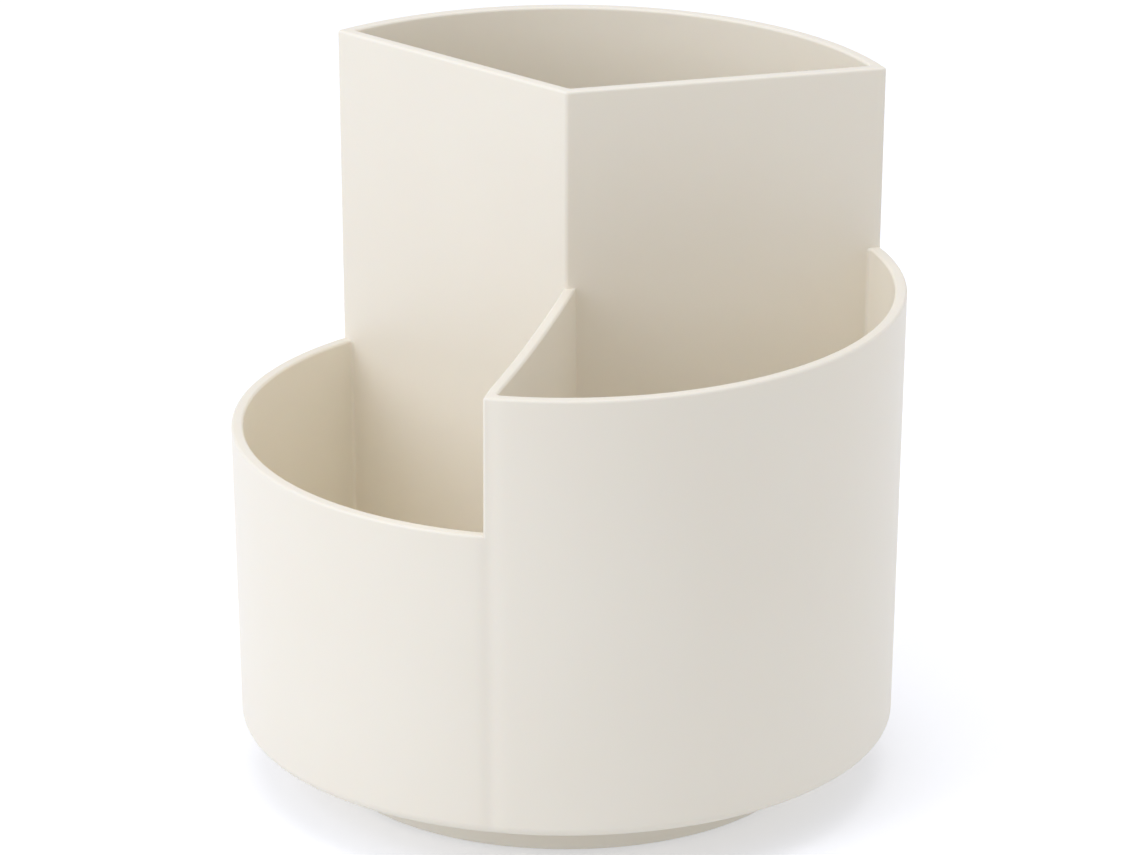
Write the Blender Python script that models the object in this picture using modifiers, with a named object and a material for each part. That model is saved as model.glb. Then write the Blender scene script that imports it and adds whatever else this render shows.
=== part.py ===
"""Pen holder with three stepped compartments that turns on a ball-bearing base.

The holder is one thin-walled moulding. Two flat walls stand at an angle to each other and meet in a
corner just behind the middle; behind them is the tall compartment. A divider runs forward from the
corner and parts the low compartment on the left from the middle one on the right.

Metres, +Z up. The origin is on the spin axis, at the bottom of the pads that the holder stands on.
An azimuth is counted from the front (-Y) towards +X.
"""

from math import asin, atan2, cos, pi, radians, sin, sqrt, tan

import bmesh
import bpy
from mathutils import Matrix, Vector

# Holder, outside: heights are from its bottom edge to each rim
RIM_RADIUS = 0.0620
LOW_HEIGHT = 0.0575
MID_HEIGHT = 0.0835
TALL_HEIGHT = 0.1180
OUTER_DRAFT = radians(1.13)
BOTTOM_ROUND = 0.0020
RIM_ROUND = 0.0005

# Holder, walls and floor
WALL = 0.00225
DIVIDER_WALL = 0.00215
FLOOR = 0.0026
SKIRT_DEPTH = 0.0030
SKIRT_WALL = 0.0024
WALL_DRAFT = radians(0.5)

# Holder, where the flat walls stand
CORNER_SETBACK = 0.0068
LOW_WALL_AZIMUTH = radians(-136.8)
MID_WALL_AZIMUTH = radians(110.3)
DIVIDER_AZIMUTH = radians(-13.0)
DIVIDER_SHIFT = 0.0006
DIVIDER_DIP = 0.0032

# Ball bearing between holder and base
BALL_RADIUS = 0.0025
BALL_COUNT = 12
RACE_RADIUS = 0.0300
RACE_CLEARANCE = 0.0002
LAND_WIDTH = 0.0110
LAND_HEIGHT = 0.0016
CAGE_SPACE = 0.0020
CAGE_THICKNESS = 0.0014
CAGE_WIDTH = 0.0088
CAGE_EDGE = 0.0003

# Pivot under the holder's floor
BOSS_RADIUS = 0.0040
BOSS_ROOT = 0.0010
PIVOT_CLEARANCE = 0.0003
SEAT_GAP = 0.0003
WASHER_RADIUS = 0.0060
WASHER_THICKNESS = 0.0010
SCREW_RADIUS = 0.00175
SCREW_LENGTH = 0.0080
SCREW_POINT = 0.0012
SCREW_BORE_SPARE = 0.0008
SCREW_CLEARANCE = 0.0002
HEAD_RADIUS = 0.0038
HEAD_HEIGHT = 0.0015
RECESS_DEPTH = 0.0009
RECESS_LENGTH = 0.0038
RECESS_WIDTH = 0.0009

# Base: its underside lies this far under the holder's bottom edge
BASE_DROP = 0.0093
BASE_RADIUS = 0.0446
BASE_EDGE_ROUND = 0.0009
COUNTERBORE_DEPTH = 0.0041
COUNTERBORE_CLEARANCE = 0.0003

# Anti-slip pads
PAD_COUNT = 4
PAD_RADIUS = 0.0060
PAD_THICKNESS = 0.0016
PAD_PROUD = 0.0008
PAD_RING_RADIUS = 0.0340
PAD_EDGE = 0.0004

# How finely round forms are divided
ROUND_STEPS = 108
BASE_STEPS = 60
CAGE_STEPS = 60
BOSS_STEPS = 32
SMALL_STEPS = 20
GROOVE_STEPS = 6
EDGE_STEPS = 3
RIM_STEPS = 2
DIVIDER_STEPS = 10
BALL_SEGMENTS = 16
BALL_RINGS = 8

# One overrun for every cut, the weld distance of the turned pieces, and the angles from which an edge
# is shaded sharp and from which the holder's edges are rounded
OVERRUN = 0.0010
WELD = 0.00001
SHARP_ANGLE = radians(30)
ROUNDED_ANGLE = radians(50)

# Heights above the surface that the pads stand on
Z_BASE = PAD_PROUD
Z_HOLDER = Z_BASE + BASE_DROP
Z_CEILING = Z_HOLDER + SKIRT_DEPTH
Z_FLOOR = Z_CEILING + FLOOR
Z_LOW = Z_HOLDER + LOW_HEIGHT
Z_MID = Z_HOLDER + MID_HEIGHT
Z_TALL = Z_HOLDER + TALL_HEIGHT
Z_LAND = Z_CEILING - LAND_HEIGHT
Z_BALL = Z_LAND - CAGE_SPACE / 2
Z_BASE_TOP = Z_LAND - CAGE_SPACE
Z_SHOULDER = Z_BASE + COUNTERBORE_DEPTH
Z_BOSS_END = Z_SHOULDER - SEAT_GAP
Z_WASHER_TOP = Z_BOSS_END - SEAT_GAP
Z_HEAD_TOP = Z_WASHER_TOP - WASHER_THICKNESS - SEAT_GAP
Z_SCREW_TIP = Z_HEAD_TOP + SCREW_LENGTH

GROOVE_RADIUS = BALL_RADIUS + RACE_CLEARANCE
BASE_BORE_RADIUS = BOSS_RADIUS + PIVOT_CLEARANCE
COUNTERBORE_RADIUS = WASHER_RADIUS + COUNTERBORE_CLEARANCE
SCREW_BORE_RADIUS = SCREW_RADIUS + SCREW_CLEARANCE


# Scene, materials and the two tools that most pieces are made with

def clear_scene():
    for old in list(bpy.data.objects):
        bpy.data.objects.remove(old, do_unlink=True)


def make_collection(name):
    collection = bpy.data.collections.new(name)
    bpy.context.scene.collection.children.link(collection)
    return collection


def make_material(name, colour, roughness, metallic=0.0):
    material = bpy.data.materials.new(name)
    material.use_nodes = True
    shader = material.node_tree.nodes["Principled BSDF"]
    shader.inputs["Base Color"].default_value = (*colour, 1.0)
    shader.inputs["Roughness"].default_value = roughness
    shader.inputs["Metallic"].default_value = metallic
    material.diffuse_color = (*colour, 1.0)
    return material


def add_object(name, mesh, collection, material=None):
    item = bpy.data.objects.new(name, mesh)
    collection.objects.link(item)
    if material:
        mesh.materials.append(material)
    return item


def mesh_from(bm, name):
    """Turn a bmesh into a mesh with outward faces and smooth round sides."""
    bmesh.ops.recalc_face_normals(bm, faces=bm.faces)
    mesh = bpy.data.meshes.new(name)
    bm.to_mesh(mesh)
    bm.free()
    mesh.shade_smooth()
    mesh.set_sharp_from_angle(angle=SHARP_ANGLE)
    return mesh


def turned(name, profile, collection, material=None, steps=ROUND_STEPS, ring=False):
    """Turn a profile of (radius, height) points about Z.

    The outer side of the profile runs from top to bottom. A ring is a closed profile off the axis.
    """
    mesh = bpy.data.meshes.new(name)
    edges = [(i, i + 1) for i in range(len(profile) - 1)]
    if ring:
        edges.append((len(profile) - 1, 0))
    mesh.from_pydata([(radius, 0.0, height) for radius, height in profile], edges, [])
    item = add_object(name, mesh, collection, material)
    screw = item.modifiers.new("Turn", "SCREW")
    screw.steps = steps
    screw.render_steps = steps
    screw.use_merge_vertices = True
    screw.merge_threshold = WELD
    screw.use_smooth_shade = True
    return item


def arc(centre_radius, centre_height, radius, start, end, steps):
    """Points of a profile along an arc; angles are counted from the outward direction upwards."""
    return [
        (
            centre_radius + radius * cos(start + (end - start) * i / steps),
            centre_height + radius * sin(start + (end - start) * i / steps),
        )
        for i in range(steps + 1)
    ]


def as_cutter(item):
    item.hide_render = True
    item.display_type = "WIRE"
    return item


def combine(item, other, operation):
    boolean = item.modifiers.new(f"{operation.title()} {other.name}", "BOOLEAN")
    boolean.operation = operation
    boolean.object = other
    boolean.solver = "EXACT"


def ring_of_places(count, radius, height, start=0.0):
    return [
        Vector((radius * cos(start + 2 * pi * i / count), radius * sin(start + 2 * pi * i / count), height))
        for i in range(count)
    ]


def plugs(name, places, radius, depth, collection, steps):
    """A cutter of upright cylinders, each standing on its place.

    They are turned by half a side, so that no corner of theirs falls on a spoke of the disc they cut.
    """
    bm = bmesh.new()
    for place in places:
        verts = bmesh.ops.create_cone(
            bm, cap_ends=True, segments=steps, radius1=radius, radius2=radius, depth=depth
        )["verts"]
        bmesh.ops.rotate(bm, verts=verts, matrix=Matrix.Rotation(pi / steps, 3, "Z"))
        bmesh.ops.translate(bm, verts=verts, vec=place + Vector((0.0, 0.0, depth / 2)))
    return as_cutter(add_object(name, mesh_from(bm, name), collection))


# Plan geometry of the holder: straight lines, circles and where they meet

def polar(radius, azimuth):
    return Vector((radius * sin(azimuth), -radius * cos(azimuth)))


def azimuth_of(point):
    return atan2(point.x, -point.y)


def outer_radius(z):
    """The holder's outside radius: drafted, and rounded in at its bottom edge."""
    radius = RIM_RADIUS + (z - Z_MID) * tan(OUTER_DRAFT)
    below = Z_HOLDER + BOTTOM_ROUND - z
    if below > 0:
        radius -= BOTTOM_ROUND - sqrt(max(BOTTOM_ROUND**2 - below**2, 0.0))
    return radius


def inner_radius(z):
    return outer_radius(z) - WALL


def line_through(start, end):
    return start, (end - start).normalized()


def shifted(line, distance):
    """The line moved to its left by a distance."""
    start, along = line
    return start + Vector((-along.y, along.x)) * distance, along


def meet(first, second):
    (start, along), (other, across) = first, second
    gap = other - start
    return start + along * (gap.cross(across) / along.cross(across))


def meet_circle(line, radius):
    """Where a line that starts inside a circle leaves it."""
    start, along = line
    half = start.dot(along)
    return start + along * (sqrt(half**2 - start.dot(start) + radius**2) - half)


CORNER = Vector((0.0, CORNER_SETBACK))
LOW_WALL_LINE = line_through(CORNER, polar(outer_radius(Z_TALL), LOW_WALL_AZIMUTH))
MID_WALL_LINE = line_through(CORNER, polar(outer_radius(Z_TALL), MID_WALL_AZIMUTH))
DIVIDER_LINE = line_through(CORNER, polar(RIM_RADIUS, DIVIDER_AZIMUTH))


def wall_points(z):
    """Every corner of the walls' plan at one height, by name.

    The flat faces are drafted so that each compartment narrows towards its floor.
    """
    lean = (Z_TALL - z) * tan(WALL_DRAFT)
    divider_lean = max(Z_MID - z, 0.0) * tan(WALL_DRAFT)
    low_face = shifted(LOW_WALL_LINE, lean)
    mid_face = shifted(MID_WALL_LINE, -lean)
    low_inside = shifted(LOW_WALL_LINE, -WALL - lean)
    mid_inside = shifted(MID_WALL_LINE, WALL + lean)
    divider_left = shifted(DIVIDER_LINE, -DIVIDER_SHIFT - divider_lean)
    divider_right = shifted(DIVIDER_LINE, DIVIDER_WALL - DIVIDER_SHIFT + divider_lean)
    outside = outer_radius(z)
    inside = inner_radius(z)
    return {
        "tall_left_edge": meet_circle(low_face, outside),
        "tall_right_edge": meet_circle(mid_face, outside),
        "step_edge": meet_circle(divider_left, outside),
        "low_back": meet_circle(low_face, inside),
        "low_front": meet_circle(divider_left, inside),
        "mid_front": meet_circle(divider_right, inside),
        "mid_back": meet_circle(mid_face, inside),
        "tall_left": meet_circle(low_inside, inside),
        "tall_right": meet_circle(mid_inside, inside),
        "corner": meet(low_face, mid_face),
        "low_corner": meet(low_face, divider_left),
        "mid_corner": meet(mid_face, divider_right),
        "tall_corner": meet(low_inside, mid_inside),
    }


class Span:
    """A stretch of the plan between two named corners, divided into steps.

    A round span follows the circle through its ends, counter-clockwise seen from above.
    """

    def __init__(self, start, end, steps, is_round=True):
        self.start = start
        self.end = end
        self.steps = steps
        self.is_round = is_round

    def place(self, step, z):
        corners = wall_points(z)
        start, end = corners[self.start], corners[self.end]
        share = step / self.steps
        if not self.is_round:
            return start.lerp(end, share)
        first = azimuth_of(start)
        sweep = (azimuth_of(end) - first) % (2 * pi)
        radius = start.length + (end.length - start.length) * share
        return polar(radius, first + sweep * share)


def steps_between(start, end):
    sweep = (end - start) % (2 * pi)
    return max(round(ROUND_STEPS * sweep / (2 * pi)), 1)


LOW_STEPS = steps_between(LOW_WALL_AZIMUTH, DIVIDER_AZIMUTH)
MID_STEPS = steps_between(DIVIDER_AZIMUTH, MID_WALL_AZIMUTH)
BACK_STEPS = steps_between(MID_WALL_AZIMUTH, LOW_WALL_AZIMUTH)

SPANS = {
    "low_outer": Span("tall_left_edge", "step_edge", LOW_STEPS),
    "low_inner": Span("low_back", "low_front", LOW_STEPS),
    "mid_outer": Span("step_edge", "tall_right_edge", MID_STEPS),
    "mid_inner": Span("mid_front", "mid_back", MID_STEPS - 1),
    "back_outer": Span("tall_right_edge", "tall_left_edge", BACK_STEPS),
    "back_inner": Span("tall_right", "tall_left", BACK_STEPS),
    "divider_left": Span("low_corner", "low_front", DIVIDER_STEPS, is_round=False),
    "divider_right": Span("mid_corner", "mid_front", DIVIDER_STEPS, is_round=False),
}


class HolderMesh:
    """The holder's walls, drawn as a plan at floor level and raised rim by rim."""

    def __init__(self):
        self.bm = bmesh.new()
        self.plan_layer = self.bm.verts.layers.int.new("plan_place")
        self.region_layer = self.bm.faces.layers.int.new("region")
        self.keys = []
        self.verts = {}

    def place(self, key, z):
        """Where a plan key lies at a height: a named corner, or a step along a span."""
        span, step = key
        point = wall_points(z)[span] if step is None else SPANS[span].place(step, z)
        return Vector((point.x, point.y, z))

    def vert(self, key):
        if key not in self.verts:
            made = self.bm.verts.new(self.place(key, Z_FLOOR))
            made[self.plan_layer] = len(self.keys)
            self.keys.append(key)
            self.verts[key] = made
        return self.verts[key]

    def chain(self, name):
        """The verts along a span, its two ends being the named corners themselves."""
        span = SPANS[name]
        middle = [self.vert((name, step)) for step in range(1, span.steps)]
        return [self.corner(span.start), *middle, self.corner(span.end)]

    def corner(self, name):
        return self.vert((name, None))

    def face(self, verts, region):
        made = self.bm.faces.new(verts)
        made[self.region_layer] = region

    def strip(self, first, second, region):
        for i in range(len(first) - 1):
            self.face([first[i], first[i + 1], second[i + 1], second[i]], region)

    def raise_regions(self, faces, regions, z):
        """Extrude the faces of some regions straight up to a height, following the draft."""
        chosen = [face for face in faces if face[self.region_layer] in regions]
        edges = list({edge for face in chosen for edge in face.edges})
        verts = list({vert for face in chosen for vert in face.verts})
        made = bmesh.ops.extrude_face_region(self.bm, geom=[*chosen, *edges, *verts])["geom"]
        for item in made:
            if isinstance(item, bmesh.types.BMVert):
                item.co = self.place(self.keys[item[self.plan_layer]], z)
        return [item for item in made if isinstance(item, bmesh.types.BMFace)]


FLOOR_REGION, LOW_REGION, MID_REGION, DIVIDER_REGION, TALL_REGION = range(5)


def draw_plan(holder):
    """Tile the holder's plan at floor level: three floors and the walls between and round them."""
    low_outer, low_inner = holder.chain("low_outer"), holder.chain("low_inner")
    mid_outer, mid_inner = holder.chain("mid_outer"), holder.chain("mid_inner")
    back_outer, back_inner = holder.chain("back_outer"), holder.chain("back_inner")
    left, right = holder.chain("divider_left"), holder.chain("divider_right")
    corner = holder.corner("corner")
    tall_corner = holder.corner("tall_corner")

    holder.face([*low_inner, *reversed(left[:-1])], FLOOR_REGION)
    holder.face([*right, *mid_inner[1:]], FLOOR_REGION)
    holder.face([*back_inner, tall_corner], FLOOR_REGION)

    holder.strip(low_outer, low_inner, LOW_REGION)
    holder.strip(mid_outer, [left[-1], *mid_inner], MID_REGION)
    holder.strip(left[1:], right[1:], DIVIDER_REGION)
    holder.face([left[1], left[0], corner, right[0], right[1]], DIVIDER_REGION)

    holder.strip(back_outer, back_inner, TALL_REGION)
    holder.face([back_outer[-1], low_inner[0], left[0], corner, tall_corner, back_inner[-1]], TALL_REGION)
    holder.face([back_outer[0], mid_inner[-1], right[0], corner, tall_corner, back_inner[0]], TALL_REGION)


def dip_divider(holder, faces):
    """Lower the divider's top edge along a shallow bow, deepest at the corner."""
    heights = {("corner", None): 0.0, ("low_corner", None): 0.0, ("mid_corner", None): 0.0}
    for name in ("divider_left", "divider_right"):
        for step in range(1, DIVIDER_STEPS):
            heights[(name, step)] = step / DIVIDER_STEPS
    verts = {vert for face in faces for vert in face.verts}
    for vert in verts:
        key = holder.keys[vert[holder.plan_layer]]
        if key in heights:
            z = Z_MID - DIVIDER_DIP * (1 - heights[key] ** 2)
            vert.co = holder.place(key, z)


def build_holder_body(collection, cutters, material):
    holder = HolderMesh()
    draw_plan(holder)
    bm = holder.bm
    rim = [edge for edge in bm.edges if edge.is_boundary]

    faces = holder.raise_regions(bm.faces[:], {LOW_REGION, MID_REGION, DIVIDER_REGION, TALL_REGION}, Z_LOW)
    faces = holder.raise_regions(faces, {MID_REGION, DIVIDER_REGION, TALL_REGION}, Z_MID)
    dip_divider(holder, faces)
    holder.raise_regions(faces, {TALL_REGION}, Z_TALL)

    for step in range(EDGE_STEPS + 1):
        z = Z_HOLDER + BOTTOM_ROUND * (1 - sin(pi / 2 * step / EDGE_STEPS))
        made = bmesh.ops.extrude_edge_only(bm, edges=rim)["geom"]
        rim = [item for item in made if isinstance(item, bmesh.types.BMEdge)]
        for item in made:
            if isinstance(item, bmesh.types.BMVert):
                item.co = holder.place(holder.keys[item[holder.plan_layer]], z)
    bmesh.ops.contextual_create(bm, geom=rim)

    body = add_object("holder_body", mesh_from(bm, "holder_body"), collection, material)
    rounding = body.modifiers.new("Round the rims", "BEVEL")
    rounding.width = RIM_ROUND
    rounding.segments = RIM_STEPS
    rounding.limit_method = "ANGLE"
    rounding.angle_limit = ROUNDED_ANGLE
    rounding.use_clamp_overlap = False

    recess = turned("underside_recess", underside_profile(), cutters, steps=BASE_STEPS)
    combine(body, as_cutter(recess), "DIFFERENCE")
    boss = turned("pivot_boss", boss_profile(), cutters, steps=BOSS_STEPS)
    boss.rotation_euler.z = pi / BOSS_STEPS
    combine(body, as_cutter(boss), "UNION")
    return body


def groove_arc(side):
    """The half of a ball groove above (side 1) or below (side -1) the bearing's gap."""
    edge = asin((CAGE_SPACE / 2) / GROOVE_RADIUS)
    if side > 0:
        return arc(RACE_RADIUS, Z_BALL, GROOVE_RADIUS, pi - edge, edge, GROOVE_STEPS)
    return arc(RACE_RADIUS, Z_BALL, GROOVE_RADIUS, pi + edge, 2 * pi - edge, GROOVE_STEPS)


def underside_profile():
    """What is hollowed out under the floor; the ring that holds the upper ball race is left standing."""
    land_inner = RACE_RADIUS - LAND_WIDTH / 2
    land_outer = RACE_RADIUS + LAND_WIDTH / 2
    skirt = outer_radius(Z_HOLDER + BOTTOM_ROUND) - SKIRT_WALL
    return [
        (0.0, Z_CEILING),
        (land_inner, Z_CEILING),
        (land_inner, Z_LAND),
        *groove_arc(1),
        (land_outer, Z_LAND),
        (land_outer, Z_CEILING),
        (skirt, Z_CEILING),
        (skirt, Z_HOLDER - OVERRUN),
        (0.0, Z_HOLDER - OVERRUN),
    ]


def boss_profile():
    """The boss under the floor that the pivot screw bites into."""
    bore_top = Z_SCREW_TIP + SCREW_BORE_SPARE
    return [
        (0.0, Z_CEILING + BOSS_ROOT),
        (BOSS_RADIUS, Z_CEILING + BOSS_ROOT),
        (BOSS_RADIUS, Z_BOSS_END),
        (SCREW_BORE_RADIUS, Z_BOSS_END),
        (SCREW_BORE_RADIUS, bore_top),
        (0.0, bore_top),
    ]


# Base, bearing, pivot and pads

def build_swivel_base(collection, cutters, material):
    """The disc that stands still, with the lower ball race and the pivot's bore."""
    edge = BASE_EDGE_ROUND
    profile = [
        (BASE_BORE_RADIUS, Z_BASE_TOP),
        *groove_arc(-1),
        *arc(BASE_RADIUS - edge, Z_BASE_TOP - edge, edge, pi / 2, 0.0, EDGE_STEPS),
        *arc(BASE_RADIUS - edge, Z_BASE + edge, edge, 0.0, -pi / 2, EDGE_STEPS),
        (COUNTERBORE_RADIUS, Z_BASE),
        (COUNTERBORE_RADIUS, Z_SHOULDER),
        (BASE_BORE_RADIUS, Z_SHOULDER),
    ]
    base = turned("swivel_base", profile, collection, material, steps=BASE_STEPS, ring=True)
    pocket_top = PAD_THICKNESS + SEAT_GAP
    pockets = plugs(
        "pad_pockets",
        pad_places(Z_BASE - OVERRUN),
        PAD_RADIUS + SEAT_GAP,
        pocket_top - Z_BASE + OVERRUN,
        cutters,
        BOSS_STEPS,
    )
    combine(base, pockets, "DIFFERENCE")


def pad_places(height):
    return ring_of_places(PAD_COUNT, PAD_RING_RADIUS, height, start=pi / PAD_COUNT)


def build_pads(collection, material):
    profile = [
        (0.0, PAD_THICKNESS),
        (PAD_RADIUS, PAD_THICKNESS),
        (PAD_RADIUS, PAD_EDGE),
        (PAD_RADIUS - PAD_EDGE, 0.0),
        (0.0, 0.0),
    ]
    for i, place in enumerate(pad_places(0.0)):
        pad = turned(f"anti_slip_pad_{i + 1}", profile, collection, material, steps=SMALL_STEPS)
        pad.location = place


def build_cage(collection, cutters, material):
    """The flat ring that keeps the balls apart, with a hole for each."""
    inner, outer = RACE_RADIUS - CAGE_WIDTH / 2, RACE_RADIUS + CAGE_WIDTH / 2
    top, bottom = Z_BALL + CAGE_THICKNESS / 2, Z_BALL - CAGE_THICKNESS / 2
    profile = [
        (inner + CAGE_EDGE, top),
        (outer - CAGE_EDGE, top),
        (outer, top - CAGE_EDGE),
        (outer, bottom + CAGE_EDGE),
        (outer - CAGE_EDGE, bottom),
        (inner + CAGE_EDGE, bottom),
        (inner, bottom + CAGE_EDGE),
        (inner, top - CAGE_EDGE),
    ]
    cage = turned("ball_cage", profile, collection, material, steps=CAGE_STEPS, ring=True)
    holes = plugs(
        "cage_holes",
        ball_places(bottom - OVERRUN),
        GROOVE_RADIUS,
        CAGE_THICKNESS + 2 * OVERRUN,
        cutters,
        SMALL_STEPS,
    )
    combine(cage, holes, "DIFFERENCE")


def ball_places(height):
    return ring_of_places(BALL_COUNT, RACE_RADIUS, height, start=pi / BALL_COUNT)


def build_balls(collection, material):
    for i, place in enumerate(ball_places(Z_BALL)):
        bm = bmesh.new()
        bmesh.ops.create_uvsphere(bm, u_segments=BALL_SEGMENTS, v_segments=BALL_RINGS, radius=BALL_RADIUS)
        name = f"bearing_ball_{i + 1:02d}"
        ball = add_object(name, mesh_from(bm, name), collection, material)
        ball.location = place


def build_washer(collection, material):
    top, bottom = Z_WASHER_TOP, Z_WASHER_TOP - WASHER_THICKNESS
    hole = SCREW_BORE_RADIUS
    profile = [(hole, top), (WASHER_RADIUS, top), (WASHER_RADIUS, bottom), (hole, bottom)]
    turned("pivot_washer", profile, collection, material, steps=SMALL_STEPS, ring=True)


def build_screw(collection, cutters, material):
    """A pan-head screw that comes up from below, with a cross recess in its head."""
    rim = HEAD_HEIGHT / 2
    head_bottom = Z_HEAD_TOP - HEAD_HEIGHT
    profile = [
        (0.0, Z_SCREW_TIP),
        (SCREW_RADIUS / 2, Z_SCREW_TIP),
        (SCREW_RADIUS, Z_SCREW_TIP - SCREW_POINT),
        (SCREW_RADIUS, Z_HEAD_TOP),
        (HEAD_RADIUS, Z_HEAD_TOP),
        *arc(HEAD_RADIUS - rim, Z_HEAD_TOP - rim, rim, 0.0, -pi / 2, EDGE_STEPS),
        (0.0, head_bottom),
    ]
    screw = turned("pivot_screw", profile, collection, material, steps=SMALL_STEPS)
    arms = [(RECESS_LENGTH, RECESS_WIDTH), (RECESS_WIDTH, RECESS_LENGTH)]
    for i, (length, width) in enumerate(arms):
        name = f"screw_slot_{i + 1}"
        bm = bmesh.new()
        height = RECESS_DEPTH + OVERRUN
        bmesh.ops.create_cube(bm, size=1.0)
        bmesh.ops.scale(bm, verts=bm.verts, vec=(length, width, height))
        bmesh.ops.translate(bm, verts=bm.verts, vec=(0.0, 0.0, head_bottom + RECESS_DEPTH - height / 2))
        combine(screw, as_cutter(add_object(name, mesh_from(bm, name), cutters)), "DIFFERENCE")


def main():
    clear_scene()
    parts = make_collection("pen_holder")
    cutters = make_collection("cutters")
    cream = make_material("cream_plastic", (0.86, 0.83, 0.77), 0.42)
    nylon = make_material("white_nylon", (0.88, 0.88, 0.86), 0.5)
    ball_steel = make_material("ball_steel", (0.62, 0.62, 0.63), 0.15, 1.0)
    zinc = make_material("zinc_steel", (0.66, 0.67, 0.68), 0.35, 1.0)
    rubber = make_material("pad_rubber", (0.78, 0.77, 0.74), 0.8)

    build_holder_body(parts, cutters, cream)
    build_swivel_base(parts, cutters, cream)
    build_cage(parts, cutters, nylon)
    build_balls(parts, ball_steel)
    build_washer(parts, zinc)
    build_screw(parts, cutters, zinc)
    build_pads(parts, rubber)


main()
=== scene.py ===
"""Dressed model of a swivel pen holder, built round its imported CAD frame.

The holder is one cream moulding with three stepped compartments. It turns on a flat base by means of a ball
bearing, held down by a pivot screw and its washer, and stands on four soft pads. Every piece is modelled
again here with finer rounds, and takes the place of its CAD node.

Metres, +Z up. The origin is on the spin axis, at the undersides of the pads. An azimuth is counted from
the front (-Y) towards +X.
"""

from __future__ import annotations

import logging
import math
from collections.abc import Callable, Iterator, Sequence
from contextlib import contextmanager
from dataclasses import dataclass
from enum import Enum

import bmesh
import bpy
from bmesh.types import BMEdge, BMVert
from bpy.types import Material, Modifier, Node, NodeSocket, Object, World
from mathutils import Matrix, Vector

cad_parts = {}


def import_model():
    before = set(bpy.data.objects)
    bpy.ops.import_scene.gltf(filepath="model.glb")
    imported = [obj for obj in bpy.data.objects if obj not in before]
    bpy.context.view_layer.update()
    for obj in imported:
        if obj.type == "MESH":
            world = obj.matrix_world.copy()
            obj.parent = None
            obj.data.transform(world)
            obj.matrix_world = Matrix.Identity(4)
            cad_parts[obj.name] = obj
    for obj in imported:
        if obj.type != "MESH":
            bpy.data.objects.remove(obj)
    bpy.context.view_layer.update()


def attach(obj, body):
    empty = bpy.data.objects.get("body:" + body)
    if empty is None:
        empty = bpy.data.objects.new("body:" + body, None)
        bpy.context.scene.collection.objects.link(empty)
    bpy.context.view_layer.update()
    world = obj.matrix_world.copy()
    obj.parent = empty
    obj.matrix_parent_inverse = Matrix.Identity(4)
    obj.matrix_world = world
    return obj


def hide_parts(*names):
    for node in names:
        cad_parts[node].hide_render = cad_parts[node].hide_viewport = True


LOG = logging.getLogger("pen_holder")

# How far a cutting tool reaches past what it cuts, how close two points are to be one, how wide a step
# between two cuts may be to be closed, and how far a tool keeps clear of a face that is cut already
OVERRUN = 0.0010
WELD = 0.000002
HAIRLINE = 0.000020
CLEARANCE = HAIRLINE / 16

# Faces that bend less than the first angle are one flat face, edges that bend more than the second are
# shaded sharp, upright edges past the third are a compartment's corners, and edges of the holder that
# stand out by more than the fourth are rounded
FLAT_ANGLE = math.radians(0.1)
SHARP_ANGLE = math.radians(40)
CORNER_ANGLE = math.radians(20)
ROUNDED_ANGLE = math.radians(50)

# How many stretches make up the round of a small edge, of a rim or fillet, and of a large edge
EDGE_STEPS = 3
RIM_STEPS = 4
LARGE_STEPS = 6

# How much of a face's normal has to point up for the face to be a top
UPWARDS = 0.5

# The noise values between which a finish goes over from one of its two colours to the other
CLOUD_RANGE = (0.3, 0.7)
PATCH_RANGE = (0.35, 0.65)

# A colour as red, green and blue, a place of a profile as a radius from the axis and a height, and the
# settings or inputs of a node by their names or numbers
Colour = tuple[float, float, float]
Place = tuple[float, float]
Values = dict[object, object]


class Body(Enum):
    """The bodies that pieces ride on."""

    BASE = "base"
    HOLDER = "holder"
    CAGE = "cage"


class Element(Enum):
    """What is selected in edit mode."""

    VERT = "VERT"
    EDGE = "EDGE"
    FACE = "FACE"


class Boolean(Enum):
    """How a tool meets a piece."""

    CUT = "DIFFERENCE"
    JOIN = "UNION"


# Modelling helpers

def choose(piece: Object) -> None:
    """Make a piece the active object, and the only one that is selected.

    Args:
        piece: The object to work on next.
    """
    bpy.ops.object.select_all(action="DESELECT")
    piece.select_set(True)
    bpy.context.view_layer.objects.active = piece


@contextmanager
def editing(piece: Object) -> Iterator[None]:
    """Hold a piece in edit mode, where vertices are selected, with all of it selected at first.

    Args:
        piece: The object to edit.
    """
    choose(piece)
    bpy.ops.object.mode_set(mode="EDIT")
    bpy.ops.mesh.select_mode(type="VERT")
    bpy.ops.mesh.select_all(action="SELECT")
    yield
    bpy.ops.object.mode_set(mode="OBJECT")


def select_where(piece: Object, kind: Element, test: Callable[..., bool]) -> None:
    """Select the elements of a piece in edit mode that pass a test, and no others.

    Args:
        piece: The object that is in edit mode.
        kind: Which elements are tested.
        test: Says of one element whether it is selected.
    """
    bpy.ops.mesh.select_mode(type=kind.value)
    bpy.ops.mesh.select_all(action="DESELECT")
    mesh = bmesh.from_edit_mesh(piece.data)
    elements = {Element.VERT: mesh.verts, Element.EDGE: mesh.edges, Element.FACE: mesh.faces}[kind]
    for element in [element for element in elements if test(element)]:
        element.select_set(True)
    mesh.select_flush_mode()
    bmesh.update_edit_mesh(piece.data)


def round_edges(piece: Object, radius: float, test: Callable[..., bool], steps: int = RIM_STEPS) -> None:
    """Select the edges of a piece in edit mode that pass a test, and bevel them into rounds."""
    select_where(piece, Element.EDGE, test)
    bpy.ops.mesh.bevel(offset=radius, segments=steps, affect="EDGES", clamp_overlap=False)


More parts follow.
